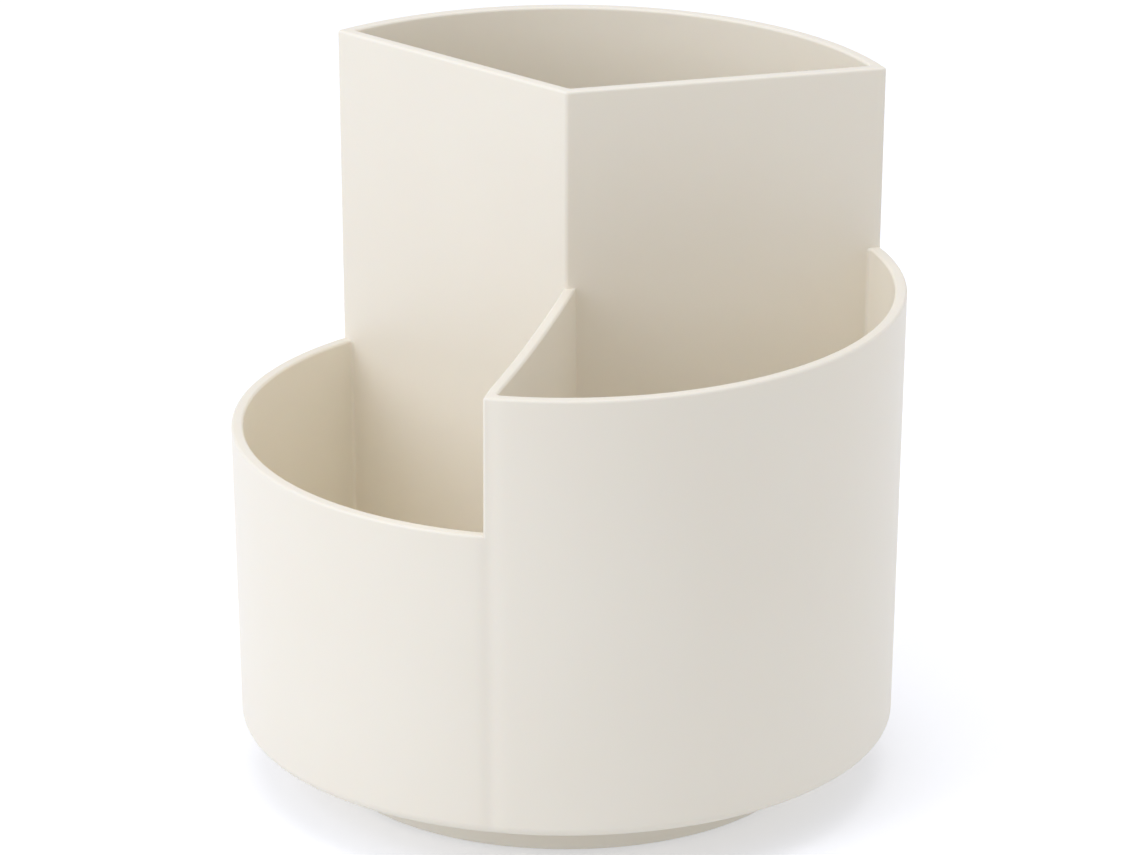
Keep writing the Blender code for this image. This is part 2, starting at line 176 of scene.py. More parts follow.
def add(name: str, primitive: Callable[..., set[str]], **settings: object) -> Object:
    """Add a primitive with nothing else selected, and move its place and turn into its mesh.

    Args:
        name: The object's name.
        primitive: The operator that adds it.
        settings: The operator's settings.

    Returns:
        The object, which sits at the origin.
    """
    bpy.ops.object.select_all(action="DESELECT")
    primitive(**settings)
    piece = bpy.context.object
    piece.name = name
    piece.data.name = name
    choose(piece)
    bpy.ops.object.transform_apply(location=True, rotation=True, scale=True)
    return piece


def apply_modifier(piece: Object, modifier: Modifier) -> None:
    """Apply one of a piece's modifiers to its mesh."""
    choose(piece)
    bpy.ops.object.modifier_apply(modifier=modifier.name)


def combine(piece: Object, tool: Object, how: Boolean) -> None:
    """Cut a tool out of a piece or join it on, and remove the tool.

    Args:
        piece: The object that changes.
        tool: The closed solid that cuts or joins.
        how: Whether it cuts or joins.
    """
    step = piece.modifiers.new("Combine", "BOOLEAN")
    step.operation = how.value
    step.object = tool
    step.solver = "EXACT"
    apply_modifier(piece, step)
    bpy.data.objects.remove(tool, do_unlink=True)


def tidy_faces(piece: Object) -> None:
    """Close the hairline steps that cutting leaves, and make each flat face one face again.

    Args:
        piece: The mesh object, before its edges are rounded.
    """
    with editing(piece):
        bpy.ops.mesh.remove_doubles(threshold=HAIRLINE)
        bpy.ops.mesh.dissolve_degenerate(threshold=HAIRLINE)
        bpy.ops.mesh.select_all(action="SELECT")
        bpy.ops.mesh.dissolve_limited(angle_limit=FLAT_ANGLE)


def smooth(piece: Object) -> None:
    """Shade a piece smooth over its rounds, with its large faces kept flat.

    Args:
        piece: The finished mesh object.
    """
    choose(piece)
    bpy.ops.object.shade_smooth_by_angle(angle=SHARP_ANGLE)
    weighted = piece.modifiers.new("Weigh the normals", "WEIGHTED_NORMAL")
    weighted.keep_sharp = True
    apply_modifier(piece, weighted)


def drum(name: str, low: Place, high: Place, sides: int, phase: float = 0.0) -> Object:
    """Add an upright drum on the axis, of one radius at its bottom and another at its top.

    Args:
        name: The object's name.
        low: The bottom's radius and height.
        high: The top's radius and height.
        sides: How many flat sides stand in for the round one.
        phase: How far the sides are turned about the axis.

    Returns:
        The drum.
    """
    return add(
        name,
        bpy.ops.mesh.primitive_cone_add,
        vertices=sides,
        radius1=low[0],
        radius2=high[0],
        depth=high[1] - low[1],
        location=(0.0, 0.0, (low[1] + high[1]) / 2),
        rotation=(0.0, 0.0, phase),
    )


def clear_phase(sides: int, azimuths: Sequence[float]) -> float:
    """Find how far to turn a drum so that the edges between its sides keep clear of some azimuths.

    Args:
        sides: How many sides the drum has.
        azimuths: The azimuths to keep clear of.

    Returns:
        The turn, less than one side.
    """
    side = 2 * math.pi / sides
    tries = 60

    def clearance(phase: float) -> float:
        """Say how far the nearest azimuth lies from an edge."""
        return min(min((azimuth - phase) % side, (phase - azimuth) % side) for azimuth in azimuths)

    return max((side * i / tries for i in range(tries)), key=clearance)


def arc(centre: Place, radius: float, start: float, end: float, steps: int) -> list[Place]:
    """Points of a profile along an arc, from one angle to another in degrees, outwards being 0 and up 90."""
    angles = [math.radians(start + (end - start) * i / steps) for i in range(steps + 1)]
    return [(centre[0] + radius * math.cos(a), centre[1] + radius * math.sin(a)) for a in angles]


def rounded(corner: Place, radius: float, start: float, steps: int = EDGE_STEPS) -> list[Place]:
    """Round a corner of a profile that points outwards, by a quarter turn clockwise.

    Args:
        corner: Where the corner would be if it were sharp.
        radius: The round's radius.
        start: The angle in degrees at which the round starts, outwards being 0 and up 90.
        steps: How many stretches it is divided into.

    Returns:
        The round's points.
    """
    middle = math.radians(start - 45)
    across, up = math.copysign(radius, math.cos(middle)), math.copysign(radius, math.sin(middle))
    return arc((corner[0] - across, corner[1] - up), radius, start, start - 90, steps)


def lathe(
    name: str, profile: Sequence[Place], sides: int, is_ring: bool = False, phase: float = 0.0
) -> Object:
    """Spin a profile about the axis into a closed solid.

    Args:
        name: The object's name.
        profile: Points as a radius from the axis and a height.
        sides: How many steps the full turn takes.
        is_ring: Whether the profile closes on itself, clear of the axis.
        phase: How far the first step is turned about the axis.

    Returns:
        The solid.
    """
    east, north = math.cos(phase), math.sin(phase)
    points = [Vector((radius * east, radius * north, height)) for radius, height in profile]
    piece = add(name, bpy.ops.mesh.primitive_plane_add, size=OVERRUN, location=points[0])
    with editing(piece):
        bpy.ops.mesh.merge(type="CENTER")
        for before, after in zip(points, points[1:]):
            bpy.ops.mesh.extrude_region_move(TRANSFORM_OT_translate={"value": after - before})
        if is_ring:
            ends = (points[0], points[-1])
            select_where(piece, Element.VERT, lambda vert: any((vert.co - end).length < WELD for end in ends))
            bpy.ops.mesh.edge_face_add()
        bpy.ops.mesh.select_all(action="SELECT")
        bpy.ops.mesh.spin(steps=sides, angle=2 * math.pi, center=(0.0, 0.0, 0.0), axis=(0.0, 0.0, 1.0))
        bpy.ops.mesh.select_all(action="SELECT")
        bpy.ops.mesh.remove_doubles(threshold=WELD)
        bpy.ops.mesh.normals_make_consistent(inside=False)
    return piece


def ring_of_places(count: int, radius: float, height: float) -> list[Vector]:
    """Places spaced evenly on a circle about the axis, the first of them half a space past +X."""
    angles = [2 * math.pi * (i + 0.5) / count for i in range(count)]
    return [Vector((radius * math.cos(a), radius * math.sin(a), height)) for a in angles]


def plugs(name: str, places: Sequence[Vector], radius: float, depth: float, sides: int) -> Object:
    """Add a cutting tool of upright round plugs, each standing on its place.

    Args:
        name: The tool's name.
        places: Where the plugs stand.
        radius: Their radius.
        depth: Their height.
        sides: How many sides each has.

    Returns:
        The tool.
    """
    pins = [
        add(
            name,
            bpy.ops.mesh.primitive_cylinder_add,
            vertices=sides,
            radius=radius,
            depth=depth,
            location=place + Vector((0.0, 0.0, depth / 2)),
            rotation=(0.0, 0.0, math.pi / sides),
        )
        for place in places
    ]
    choose(pins[0])
    for pin in pins:
        pin.select_set(True)
    bpy.ops.object.join()
    return pins[0]


def lies_below(edge: BMEdge, height: float) -> bool:
    """Say whether an edge lies at a height or below it."""
    return all(vert.co.z < height + WELD for vert in edge.verts)


def hand_over(piece: Object, node: str, body: Body, finish: Material) -> None:
    """Dress a finished piece, and let it stand for its CAD node.

    Args:
        piece: The finished mesh object.
        node: The CAD node that it replaces.
        body: The body that it rides on.
        finish: Its material.
    """
    piece.data.materials.clear()
    piece.data.materials.append(finish)
    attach(piece, body.value)
    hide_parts(node)
    LOG.info("%s stands for %s on %s, %d faces", piece.name, node, body.value, len(piece.data.polygons))


# Finishes

class Graph:
    """The nodes of one material or world."""

    def __init__(self, owner: Material | World, output: str) -> None:
        """Start with nothing but the output.

        Args:
            owner: The material or world.
            output: The type of its output node.
        """
        owner.use_nodes = True
        self.tree = owner.node_tree
        self.tree.nodes.clear()
        self.output = self.tree.nodes.new(output)

    def node(self, kind: str, settings: Values | None = None, inputs: Values | None = None) -> Node:
        """Add a node.

        Args:
            kind: The node's type.
            settings: Its settings, which are made first.
            inputs: Values or links by socket name or number.

        Returns:
            The node.
        """
        made = self.tree.nodes.new(kind)
        for key, value in (settings or {}).items():
            setattr(made, key, value)
        for key, value in (inputs or {}).items():
            if isinstance(value, Signal):
                value = value.socket
            if isinstance(value, NodeSocket):
                self.tree.links.new(value, made.inputs[key])
            else:
                made.inputs[key].default_value = value
        return made

    def place(self) -> NodeSocket:
        """Read where a point lies on the object, in metres."""
        return self.node("ShaderNodeTexCoord").outputs["Object"]

    def split(self, vector: NodeSocket) -> list[Signal]:
        """Take a vector apart into its three numbers."""
        parts = self.node("ShaderNodeSeparateXYZ", inputs={"Vector": vector})
        return [Signal(self, part) for part in parts.outputs]

    def noise(self, vector: NodeSocket, scale: float, detail: float = 2.0) -> Signal:
        """Add noise about one half, with so many waves per metre and so many finer layers."""
        made = self.node("ShaderNodeTexNoise", inputs={"Vector": vector, "Scale": scale, "Detail": detail})
        return Signal(self, made.outputs["Fac"])

    def relief(self, height: Signal) -> NodeSocket:
        """Turn a height in metres into a bumped normal."""
        inputs = {"Strength": 1.0, "Distance": 1.0, "Height": height}
        return self.node("ShaderNodeBump", inputs=inputs).outputs[0]

    def blend_colours(self, mask: Signal, low: Colour, high: Colour) -> NodeSocket:
        """Blend two colours by a mask, which is 0 for the first of them and 1 for the second."""
        inputs = {0: mask, 6: (*low, 1.0), 7: (*high, 1.0)}
        return self.node("ShaderNodeMix", {"data_type": "RGBA", "clamp_factor": True}, inputs).outputs[2]

    def blend_shaders(self, mask: object, low: Node, high: Node) -> Node:
        """Blend two shaders by a mask, in the same way."""
        return self.node("ShaderNodeMixShader", inputs={0: mask, 1: low.outputs[0], 2: high.outputs[0]})

    def show(self, shader: Node) -> None:
        """Link a shader to the output."""
        self.tree.links.new(shader.outputs[0], self.output.inputs["Surface"])


class Signal:
    """A number in a material, on which Python sums add Math nodes."""

    def __init__(self, graph: Graph, socket: NodeSocket) -> None:
        """Wrap a socket.

        Args:
            graph: The material's nodes.
            socket: The output socket that carries the number.
        """
        self.graph = graph
        self.socket = socket

    def maths(self, operation: str, *values: object) -> Signal:
        """Add one Math node with an operation and the values that it takes in order."""
        made = self.graph.node("ShaderNodeMath", {"operation": operation}, dict(enumerate(values)))
        return Signal(self.graph, made.outputs[0])

    def __add__(self, other: Signal | float) -> Signal:
        """Sum."""
        return self.maths("ADD", self, other)

    __radd__ = __add__

    def __sub__(self, other: Signal | float) -> Signal:
        """Difference."""
        return self.maths("SUBTRACT", self, other)

    def __rsub__(self, other: float) -> Signal:
        """Difference, the other way round."""
        return self.maths("SUBTRACT", other, self)

    def __mul__(self, other: Signal | float) -> Signal:
        """Product."""
        return self.maths("MULTIPLY", self, other)

    __rmul__ = __mul__

    def __truediv__(self, other: Signal | float) -> Signal:
        """Quotient."""
        return self.maths("DIVIDE", self, other)

    def __rtruediv__(self, other: float) -> Signal:
        """Quotient, the other way round."""
        return self.maths("DIVIDE", other, self)

    def __neg__(self) -> Signal:
        """The same number with its sign turned."""
        return self.maths("MULTIPLY", self, -1.0)

    def root(self) -> Signal:
        """Square root."""
        return self.maths("SQRT", self)

    def bell(self, width: float) -> Signal:
        """A smooth hill that is 1 where this number is 0, and about a third at a width from there."""
        share = self / width
        return self.maths("EXPONENT", -(share * share))

    def above(self, start: float, end: float) -> Signal:
        """A soft step.

        Args:
            start: Where the step is still 0.
            end: Where it has reached 1.

        Returns:
            The step's height.
        """
        inputs = {"Value": self, "From Min": start, "From Max": end}
        made = self.graph.node("ShaderNodeMapRange", {"interpolation_type": "SMOOTHSTEP"}, inputs)
        return Signal(self.graph, made.outputs[0])


class Finish(Graph):
    """The nodes of one material."""

    def __init__(self, name: str) -> None:
        """Start a material under a name, with nothing but its output."""
        self.material = bpy.data.materials.new(name)
        super().__init__(self.material, "ShaderNodeOutputMaterial")

    def surface(self, inputs: Values) -> Material:
        """Show the surface shader with some values and links, and give the finished material."""
        self.show(self.node("ShaderNodeBsdfPrincipled", inputs=inputs))
        return self.material


@dataclass(frozen=True)
class SinkLine:
    """The faint hollow line on the outside of the wall where the divider meets it from behind.

    Attributes:
        point: A point of the divider's middle plane.
        normal: The direction across the divider.
        depth: How far the wall sinks.
        width: How far from its middle the hollow is a third as deep.
        rim_radius: The wall's outside radius at a known height.
        rim_height: That height.
        draft: The wall's draft.
        wall: The wall's thickness.
    """

    point: Vector
    normal: Vector
    depth: float
    width: float
    rim_radius: float
    rim_height: float
    draft: float
    wall: float

    def height(self, x: Signal, y: Signal, z: Signal) -> Signal:
        """Work out how far the surface is sunk.

        Args:
            x: The point's first coordinate.
            y: Its second.
            z: Its third.

        Returns:
            The sink's height in metres, below zero.
        """
        across = (x - self.point.x) * self.normal.x + (y - self.point.y) * self.normal.y
        outside = (x * x + y * y).root() - (z - self.rim_height) * math.tan(self.draft) - self.rim_radius
        on_outside = outside.above(-self.wall / 2, -self.wall / 4)
        at_front = (-y).above(0.0, self.rim_radius / 2)
        return across.bell(self.width) * on_outside * at_front * -self.depth


@dataclass(frozen=True)
class MouldedPlastic:
    """Satin moulded plastic with a fine grain and slightly clouded colour.

    Attributes:
        name: The material's name.
        light: Its lighter colour.
        dark: Its darker colour.
        roughness: How rough the surface is.
        grain: The height of the grain.
        cloud_waves: How many clouds of colour lie in a metre.
        speckle_waves: How many specks of sheen.
        grain_waves: How many grains.
        ripple_waves: How many of the longer ripples under the grain.
        ripple: The height of the ripples, in grains.
        speckled: How much the roughness varies with the specks.
        clouded: How much it varies with the clouds.
        refraction: The plastic's refractive index.
        depth: How much of the light comes back from under the surface.
        reach: How far red, green and blue light travel there.
    """

    name: str
    light: Colour
    dark: Colour
    roughness: float
    grain: float
    cloud_waves: float = 28.0
    speckle_waves: float = 900.0
    grain_waves: float = 1900.0
    ripple_waves: float = 260.0
    ripple: float = 1.5
    speckled: float = 0.08
    clouded: float = 0.06
    refraction: float = 1.49
    depth: float = 0.12
    reach: Colour = (0.0030, 0.0022, 0.0014)

    def build(self, sink: SinkLine | None = None) -> Material:
        """Make the material.

        Args:
            sink: The sink line that the surface shows, if it has one.

        Returns:
            The material.
        """
        finish = Finish(self.name)
        vector = finish.place()
        clouds = finish.noise(vector, self.cloud_waves, detail=3.0)
        speckle = finish.noise(vector, self.speckle_waves)
        grain = finish.noise(vector, self.grain_waves, detail=3.0) * self.grain
        height = grain + finish.noise(vector, self.ripple_waves) * (self.grain * self.ripple)
        if sink:
            height = height + sink.height(*finish.split(vector))
        return finish.surface(
            {
                "Base Color": finish.blend_colours(clouds.above(*CLOUD_RANGE), self.dark, self.light),
                "Roughness": (speckle - 0.5) * self.speckled + (clouds - 0.5) * self.clouded + self.roughness,
                "Normal": finish.relief(height),
                "IOR": self.refraction,
                "Subsurface Weight": self.depth,
                "Subsurface Radius": self.reach,
                "Subsurface Scale": 1.0,
            }
        )


@dataclass(frozen=True)
class PlainSteel:
    """Bare or plated steel.

    Attributes:
        name: The material's name.
        colour: Its colour.
        roughness: How rough it is on average.
        stain: How much its roughness and colour vary.
        patch_waves: How many patches lie in a metre.
        mark_waves: How many fine marks.
        mark: The height of the marks.
    """

    name: str
    colour: Colour
    roughness: float
    stain: float
    patch_waves: float = 420.0
    mark_waves: float = 2600.0
    mark: float = 0.000002

    def build(self) -> Material:
        """Make the material.

        Returns:
            The material.
        """
        finish = Finish(self.name)
        vector = finish.place()
        patches = finish.noise(vector, self.patch_waves, detail=4.0)
        dull = tuple(share * (1.0 - self.stain) for share in self.colour)
        return finish.surface(
            {
                "Base Color": finish.blend_colours(patches.above(*PATCH_RANGE), dull, self.colour),
                "Roughness": (patches - 0.5) * self.stain + self.roughness,
                "Metallic": 1.0,
                "Normal": finish.relief(finish.noise(vector, self.mark_waves) * self.mark),
            }
        )


@dataclass(frozen=True)
class SoftRubber:
    """Matte pad rubber with a slightly pebbled surface.

    Attributes:
        name: The material's name.
        colour: Its colour.
        pebble_waves: How many pebbles lie in a metre.
        pebble: Their height.
        dust_waves: How many specks of dust lie in a metre.
        dusty: How light the dusty colour is beside the clean one.
        roughness: How rough the rubber is on average.
        varied: How much its roughness varies with the dust.
    """

    name: str
    colour: Colour
    pebble_waves: float = 1300.0
    pebble: float = 0.00003
    dust_waves: float = 600.0
    dusty: float = 0.93
    roughness: float = 0.75
    varied: float = 0.2

    def build(self) -> Material:
        """Make the material.

        Returns:
            The material.
        """
        finish = Finish(self.name)
        vector = finish.place()
        pebbles = finish.node("ShaderNodeTexVoronoi", inputs={"Vector": vector, "Scale": self.pebble_waves})
        dust = finish.noise(vector, self.dust_waves, detail=4.0)
        dusty = tuple(share * self.dusty for share in self.colour)
        return finish.surface(
            {
                "Base Color": finish.blend_colours(dust.above(*PATCH_RANGE), dusty, self.colour),
                "Roughness": (dust - 0.5) * self.varied + self.roughness,
                "Normal": finish.relief(Signal(finish, pebbles.outputs["Distance"]) * self.pebble),
            }
        )


# Holder

@dataclass(frozen=True)
class Plane:
    """A flat face of a wall.

    Attributes:
        point: A point on it.
        normal: The way it faces, out of the wall.
    """

    point: Vector
    normal: Vector

    def trim(self, piece: Object) -> None:
        """Cut a solid along the plane, keep what lies before its face and close the cut.

        Args:
            piece: The solid.
        """
        with editing(piece):
            bpy.ops.mesh.bisect(
                plane_co=self.point, plane_no=self.normal, use_fill=True, clear_inner=True, threshold=WELD
            )

    def azimuth_at(self, radius: float, height: float, towards: Vector) -> float:
        """Find where the plane meets an upright round wall.

        Args:
            radius: The round wall's radius.
            height: At which height.
            towards: Which of the two places is meant, as a direction from the axis.

        Returns:
            The place's azimuth.
        """
        level = Vector((self.normal.x, self.normal.y))
        start = Vector((self.point.x, self.point.y))
        start -= level * ((height - self.point.z) * self.normal.z / level.length_squared)
        along = Vector((-level.y, level.x)).normalized()
        if along.dot(towards) < 0:
            along = -along
        half = start.dot(along)
        place = start + along * (math.sqrt(half**2 - start.length_squared + radius**2) - half)
        return math.atan2(place.x, -place.y)


@dataclass(frozen=True)
class FlatWall:
    """A flat wall that runs outwards from the holder's corner.

    Attributes:
        corner: Where it starts, in plan.
        end: Where its line meets the round wall, in plan.
        left: Its thickness to the left of that line, at the height of its top.
        right: Its thickness to the right of that line, there.
        top: The height of its top.
        draft: How much each face leans.
    """

    corner: Vector
    end: Vector
    left: float
    right: float
    top: float
    draft: float

    @property
    def along(self) -> Vector:
        """The wall's direction in plan."""
        return (self.end - self.corner).normalized()

    @property
    def across(self) -> Vector:
        """The direction to the wall's left in plan."""
        return Vector((-self.along.y, self.along.x))

    @property
    def middle(self) -> float:
        """How far the wall's middle lies to the left of its line."""
        return (self.left - self.right) / 2

    def face(self, outwards: Vector, thickness: float) -> Plane:
        """The face that looks a given way, at a distance from the wall's line."""
        point = Vector((*(self.corner + outwards * thickness), self.top))
        return Plane(point, Vector((*outwards, math.tan(self.draft))).normalized())

    def left_face(self) -> Plane:
        """The face on the left of the wall."""
        return self.face(self.across, self.left)

    def right_face(self) -> Plane:
        """The face on the right of the wall."""
        return self.face(-self.across, self.right)


@dataclass(frozen=True)
class Holder:
    """The stepped holder: a drafted drum, cut down in steps and hollowed out in three compartments."""

    rim_radius: float = 0.0620
    bottom: float = 0.0101
    ceiling: float = 0.0131
    floor: float = 0.0157
    low_rim: float = 0.0676
    mid_rim: float = 0.0936
    tall_rim: float = 0.1281
    draft: float = math.radians(1.13)
    wall: float = 0.00225
    wall_draft: float = math.radians(0.5)
    skirt_wall: float = 0.0024
    bottom_round: float = 0.0020
    rim_round: float = 0.00055
    corner_fillet: float = 0.0007
    foot_fillet: float = 0.00025
    floor_fillet: float = 0.0002
    corner_setback: float = 0.0068
    low_wall_azimuth: float = math.radians(-136.8)
    mid_wall_azimuth: float = math.radians(110.3)
    divider_azimuth: float = math.radians(-13.0)
    divider_wall: float = 0.00215
    divider_shift: float = 0.0006
    divider_dip: float = 0.0032
    dip_end: float = 0.0022
    sink_depth: float = 0.00026
    sink_width: float = 0.0017
    land_inner: float = 0.0245
    land_outer: float = 0.0355
    land_height: float = 0.0016
    boss_radius: float = 0.0040
    boss_bore: float = 0.00195
    boss_end: float = 0.0046
    boss_bore_top: float = 0.0118
    boss_sides: int = 48
    slot_overrun: float = 0.0070
    slot_steps: int = 28
    block_sides: int = 24
    sides: int = 120

    def outer_radius(self, height: float) -> float:
        """The drum's outside radius at a height."""
        return self.rim_radius + (height - self.mid_rim) * math.tan(self.draft)

    def inner_radius(self, height: float) -> float:
        """The compartments' radius at a height."""
        return self.outer_radius(height) - self.wall

    def polar(self, radius: float, azimuth: float) -> Vector:
        """A point of the plan by its radius and azimuth."""
        return Vector((radius * math.sin(azimuth), -radius * math.cos(azimuth)))

    @property
    def corner(self) -> Vector:
        """Where the two tall walls meet, in plan."""
        return Vector((0.0, self.corner_setback))

    def flat_wall(self, azimuth: float, left: float, right: float, top: float) -> FlatWall:
        """A flat wall from the corner to the outside of the round wall, of some height and thickness."""
        end = self.polar(self.outer_radius(top), azimuth)
        return FlatWall(self.corner, end, left, right, top, self.wall_draft)

    @property
    def low_wall(self) -> FlatWall:
        """The wall between the low and the tall compartment."""
        return self.flat_wall(self.low_wall_azimuth, 0.0, self.wall, self.tall_rim)

    @property
    def mid_wall(self) -> FlatWall:
        """The wall between the middle and the tall compartment."""
        return self.flat_wall(self.mid_wall_azimuth, self.wall, 0.0, self.tall_rim)

    @property
    def divider(self) -> FlatWall:
        """The divider between the low and the middle compartment."""
        left = self.divider_wall - self.divider_shift
        return self.flat_wall(self.divider_azimuth, left, self.divider_shift, self.mid_rim)

    def near_corner(self, vert: BMVert) -> bool:
        """Say whether a point lies close to the corner in plan."""
        return (vert.co.xy - self.corner).length < 2 * self.divider_wall

    def sink_line(self) -> SinkLine:
        """Work out the line that the divider leaves on the outside of the round wall.

        Returns:
            The line.
        """
        return SinkLine(
            point=self.corner + self.divider.across * self.divider.middle,
            normal=self.divider.across,
            depth=self.sink_depth,
            width=self.sink_width,
            rim_radius=self.rim_radius,
            rim_height=self.mid_rim,
            draft=self.draft,
            wall=self.wall,
        )

    def outer_drum(self) -> Object:
        """Make the solid drum with its rounded bottom edge.

        Returns:
            The drum, which becomes the holder.
        """
        crossings = [
            plane.azimuth_at(self.outer_radius(height), height, wall.along)
            for wall, plane, heights in (
                (self.low_wall, self.low_wall.left_face(), (self.low_rim, self.tall_rim)),
                (self.mid_wall, self.mid_wall.right_face(), (self.mid_rim, self.tall_rim)),
                (self.divider, self.divider.right_face(), (self.low_rim, self.mid_rim)),
            )
            for height in heights
        ]
        piece = drum(
            "moulded_holder",
            (self.outer_radius(self.bottom), self.bottom),
            (self.outer_radius(self.tall_rim), self.tall_rim),
            self.sides,
            clear_phase(self.sides, crossings),
        )
        with editing(piece):
            round_edges(piece, self.bottom_round, lambda edge: lies_below(edge, self.bottom), LARGE_STEPS)
        return piece

    def tower_block(self) -> Object:
        """Make the block of all that lies behind the two tall walls' front faces, a hair too large.

        Returns:
            The block.
        """
        radius = 2 * self.rim_radius
        tool = drum("tower_block", (radius, self.floor), (radius, 2 * self.tall_rim), self.block_sides)
        for face in (self.low_wall.left_face(), self.mid_wall.right_face()):
            Plane(face.point + face.normal * CLEARANCE, -face.normal).trim(tool)
        return tool

    def divider_slot(self) -> Object:
        """Make the tool that clears the room over the divider, down to its bowed top edge.

        Returns:
            The tool.
        """
        wall = self.divider
        length = (wall.end - self.corner).length - self.wall - self.dip_end
        width = self.divider_wall + 2 * OVERRUN
        full = length + 2 * self.slot_overrun
        grid = bpy.ops.mesh.primitive_grid_add
        tool = add("divider_slot", grid, x_subdivisions=self.slot_steps, y_subdivisions=1, size=1.0)
        for vert in tool.data.vertices:
            run = (vert.co.x + 0.5) * full - self.slot_overrun
            share = min(max(run, 0.0) / length, 1.0)
            place = self.corner + wall.along * run + wall.across * (wall.middle + vert.co.y * width)
            vert.co = (*place, self.mid_rim - self.divider_dip * (1.0 - share**2))
        up = (0.0, 0.0, self.tall_rim - self.floor)
        with editing(tool):
            bpy.ops.mesh.extrude_region_move(TRANSFORM_OT_translate={"value": up})
            bpy.ops.mesh.select_all(action="SELECT")
            bpy.ops.mesh.normals_make_consistent(inside=False)
        combine(tool, self.tower_block(), Boolean.CUT)
        return tool

    def compartment(self, name: str, faces: Sequence[tuple[FlatWall, Plane]], rim: float) -> Object:
        """Make the tool that hollows out one compartment and clears all that lies over its rim.

        Args:
            name: The tool's name.
            faces: The flat walls that bound the compartment, each with its face on this side.
            rim: The height of the compartment's round wall.

        Returns:
            The tool.
        """
        crossings = [
            plane.azimuth_at(self.inner_radius(height), height, wall.along)
            for wall, plane in faces
            for height in (self.floor, rim)
        ]
        top = self.tall_rim + OVERRUN
        profile = [(0.0, self.floor), (self.inner_radius(self.floor), self.floor)]
        if rim < self.tall_rim:
            reach = self.outer_radius(self.tall_rim) + 2 * OVERRUN
            profile += [(self.inner_radius(rim), rim), (reach, rim), (reach, top), (0.0, top)]
        else:
            profile += [(self.inner_radius(top), top), (0.0, top)]
        tool = lathe(name, profile, self.sides, phase=clear_phase(self.sides, crossings))
        with editing(tool):
            bpy.ops.mesh.dissolve_limited(angle_limit=FLAT_ANGLE)
        for _, plane in faces:
            plane.trim(tool)

        def is_corner(edge: BMEdge) -> bool:
            """Say whether an edge stands upright where two walls meet at an angle."""
            ends = [vert.co.z for vert in edge.verts]
            return max(ends) - min(ends) > self.wall and edge.calc_face_angle(0.0) > CORNER_ANGLE

        def is_inside(edge: BMEdge) -> bool:
            """Say whether an upright edge belongs to the compartment and not to the room over its rim."""
            return is_corner(edge) and all(vert.co.xy.length < self.outer_radius(rim) for vert in edge.verts)

        def is_middle(edge: BMEdge) -> bool:
            """Say whether an upright edge stands where the flat walls meet."""
            return is_corner(edge) and all(self.near_corner(vert) for vert in edge.verts)

        with editing(tool):
            bpy.ops.mesh.bisect(plane_co=(0.0, 0.0, rim), plane_no=(0.0, 0.0, 1.0), threshold=WELD)
            round_edges(tool, self.corner_fillet, lambda edge: is_inside(edge) and not is_middle(edge))
            round_edges(tool, self.foot_fillet, is_middle)
            round_edges(tool, self.floor_fillet, lambda edge: lies_below(edge, self.floor))
        return tool

    def underside(self, piece: Object) -> None:
        """Hollow out the underside round the bearing's land, and add the pivot's boss.

        Args:
            piece: The holder.
        """
        land = self.ceiling - self.land_height
        edge = self.rim_round
        skirt = self.outer_radius(self.bottom + self.bottom_round) - self.skirt_wall
        profile = [
            (0.0, self.ceiling),
            (self.land_inner, self.ceiling),
            (self.land_inner, land),
            *BallBearing().groove(1),
            (self.land_outer, land),
            (self.land_outer, self.ceiling),
            (skirt - 2 * edge, self.ceiling),
            *rounded((skirt, self.ceiling), 2 * edge, 90, RIM_STEPS)[1:],
            *arc((skirt + edge, self.bottom + edge), edge, 180, 270, RIM_STEPS),
            (skirt + edge, self.bottom - OVERRUN),
            (0.0, self.bottom - OVERRUN),
        ]
        combine(piece, lathe("underside_recess", profile, self.sides), Boolean.CUT)
        boss = [
            (0.0, self.ceiling + OVERRUN),
            (self.boss_radius, self.ceiling + OVERRUN),
            *rounded((self.boss_radius, self.boss_end), edge, 0),
            (self.boss_bore, self.boss_end),
            (self.boss_bore, self.boss_bore_top),
            (0.0, self.boss_bore_top),
        ]
        combine(piece, lathe("pivot_boss", boss, self.boss_sides), Boolean.JOIN)

    def build(self, finish: Material) -> None:
        """Make the holder and let it stand for its CAD node.

        Args:
            finish: Its material.
        """
        piece = self.outer_drum()
        low, mid, divider = self.low_wall, self.mid_wall, self.divider
        for name, faces, rim in (
            ("low_compartment", [(low, low.left_face()), (divider, divider.right_face())], self.low_rim),
            ("middle_compartment", [(divider, divider.left_face()), (mid, mid.right_face())], self.mid_rim),
            ("tall_compartment", [(low, low.right_face()), (mid, mid.left_face())], self.tall_rim),
        ):
            combine(piece, self.compartment(name, faces, rim), Boolean.CUT)
        combine(piece, self.divider_slot(), Boolean.CUT)
        tidy_faces(piece)

        def at_foot(vert: BMVert) -> bool:
            """Say whether a point lies where the divider runs into the tall walls' corner."""
            return self.near_corner(vert) and vert.co.z < self.mid_rim - self.divider_dip / 2

        def is_rim(edge: BMEdge) -> bool:
            """Say whether an edge stands out and has room for its round."""
            has_room = edge.calc_length() > self.rim_round or not all(at_foot(vert) for vert in edge.verts)
            return has_room and edge.is_convex and edge.calc_face_angle(0.0) > ROUNDED_ANGLE

        with editing(piece):
            round_edges(piece, self.rim_round, is_rim)
        self.underside(piece)
        smooth(piece)
        hand_over(piece, "holder_body", Body.HOLDER, finish)


# Base, bearing, pivot and pads

